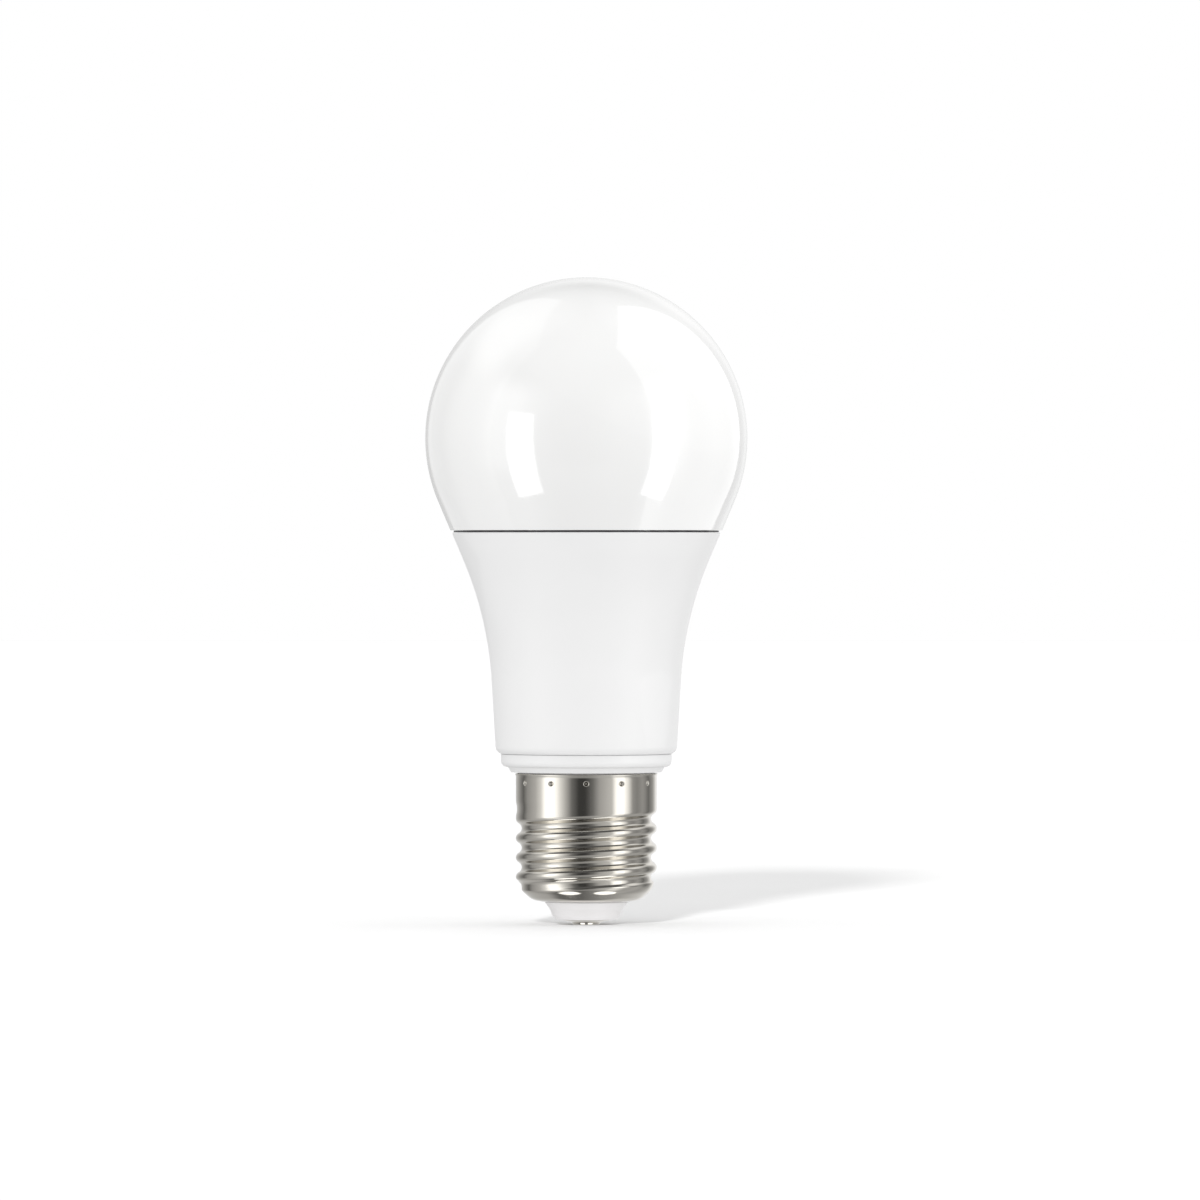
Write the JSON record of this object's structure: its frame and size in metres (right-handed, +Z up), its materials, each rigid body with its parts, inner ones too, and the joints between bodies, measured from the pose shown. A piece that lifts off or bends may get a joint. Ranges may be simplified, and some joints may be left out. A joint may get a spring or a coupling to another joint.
{
  "type": "smart light bulb",
  "caption": "Screw-in smart LED bulb: opal globe on a flared white housing with an E27 cap, and its light engine, driver and radio inside.",
  "frame": {"origin": "middle of the flat tip of the centre contact, at the bottom of the bulb", "axes": "+Z up the bulb's axis towards the top of the globe, -Y the front, +X the right seen from the front"},
  "size_m": [0.06, 0.06, 0.1205],
  "materials": {
    "opal_diffuser": "glossy opal white polycarbonate",
    "white_housing": "satin white moulded plastic",
    "nickel_plate": "bright nickel plating",
    "cap_insulator": "smooth white insulating plastic",
    "dark_gasket": "matt dark grey elastomer",
    "clear_silicone": "cured translucent silicone",
    "drawn_aluminium": "drawn aluminium with faint drawing lines",
    "thermal_pad_grey": "soft grey silicone pad",
    "white_solder_mask": "white solder mask on an aluminium core",
    "led_phosphor": "yellow phosphor gel in a white package",
    "led_package": "white package with a clear well",
    "zinc_steel": "zinc-plated steel",
    "black_solder_mask": "black solder mask on fibreglass",
    "tinned_shield": "tinned sheet steel",
    "enamelled_copper": "copper, enamelled where it is wound",
    "chip_epoxy": "black moulding compound",
    "green_solder_mask": "green solder mask on fibreglass",
    "capacitor_epoxy": "dipped red-brown epoxy",
    "varistor_epoxy": "dipped blue epoxy",
    "ferrite": "matt dark ferrite",
    "bobbin_phenolic": "black phenolic",
    "winding_tape": "yellow polyester tape over the winding",
    "capacitor_sleeve_black": "black shrink sleeve",
    "capacitor_sleeve_blue": "dark blue shrink sleeve",
    "resistor_coating": "green flameproof coating",
    "capacitor_ceramic": "tan ceramic between tinned ends",
    "red_lead_insulation": "red wire insulation",
    "black_lead_insulation": "black wire insulation"
  },
  "bodies": {
    "root": {"adhesive_ring": "clear_silicone", "antenna_trace": "enamelled_copper", "board_screw_1": "zinc_steel", "board_screw_2": "zinc_steel", "board_screw_3": "zinc_steel", "bridge_rectifier": "chip_epoxy", "bulk_capacitor": "capacitor_sleeve_blue", "cap_insulator": "cap_insulator", "centre_contact": "nickel_plate", "chip_capacitor_1": "capacitor_ceramic", "chip_capacitor_2": "capacitor_ceramic", "chip_capacitor_3": "capacitor_ceramic", "chip_resistor_1": "chip_epoxy", "chip_resistor_2": "chip_epoxy", "chip_resistor_3": "chip_epoxy", "diffuser_globe": "opal_diffuser", "driver_board": "green_solder_mask", "driver_ic": "chip_epoxy", "film_capacitor": "capacitor_epoxy", "filter_choke_core": "ferrite", "filter_choke_winding": "enamelled_copper", "freewheel_diode": "chip_epoxy", "fuse_resistor": "resistor_coating", "heatsink_cup": "drawn_aluminium", "housing_shell": "white_housing", "led_board": "white_solder_mask", "led_channel_ic": "chip_epoxy", "led_pin_header": "chip_epoxy", "live_lead": "red_lead_insulation", "logic_regulator": "chip_epoxy", "neutral_lead": "black_lead_insulation", "output_capacitor": "capacitor_sleeve_black", "radio_board": "black_solder_mask", "radio_chip": "chip_epoxy", "radio_pin_header": "chip_epoxy", "radio_shield": "tinned_shield", "rgb_led_1": "led_package", "rgb_led_2": "led_package", "rgb_led_3": "led_package", "rgb_led_4": "led_package", "screw_shell": "nickel_plate", "thermal_pad": "thermal_pad_grey", "transformer_bobbin": "bobbin_phenolic", "transformer_core": "ferrite", "transformer_winding": "winding_tape", "varistor": "varistor_epoxy", "white_led_1": "led_phosphor", "white_led_2": "led_phosphor", "white_led_3": "led_phosphor", "white_led_4": "led_phosphor", "white_led_5": "led_phosphor", "white_led_6": "led_phosphor", "white_led_7": "led_phosphor", "white_led_8": "led_phosphor", "white_led_9": "led_phosphor", "seam_gasket": "dark_gasket"}
  },
  "joints": []
}
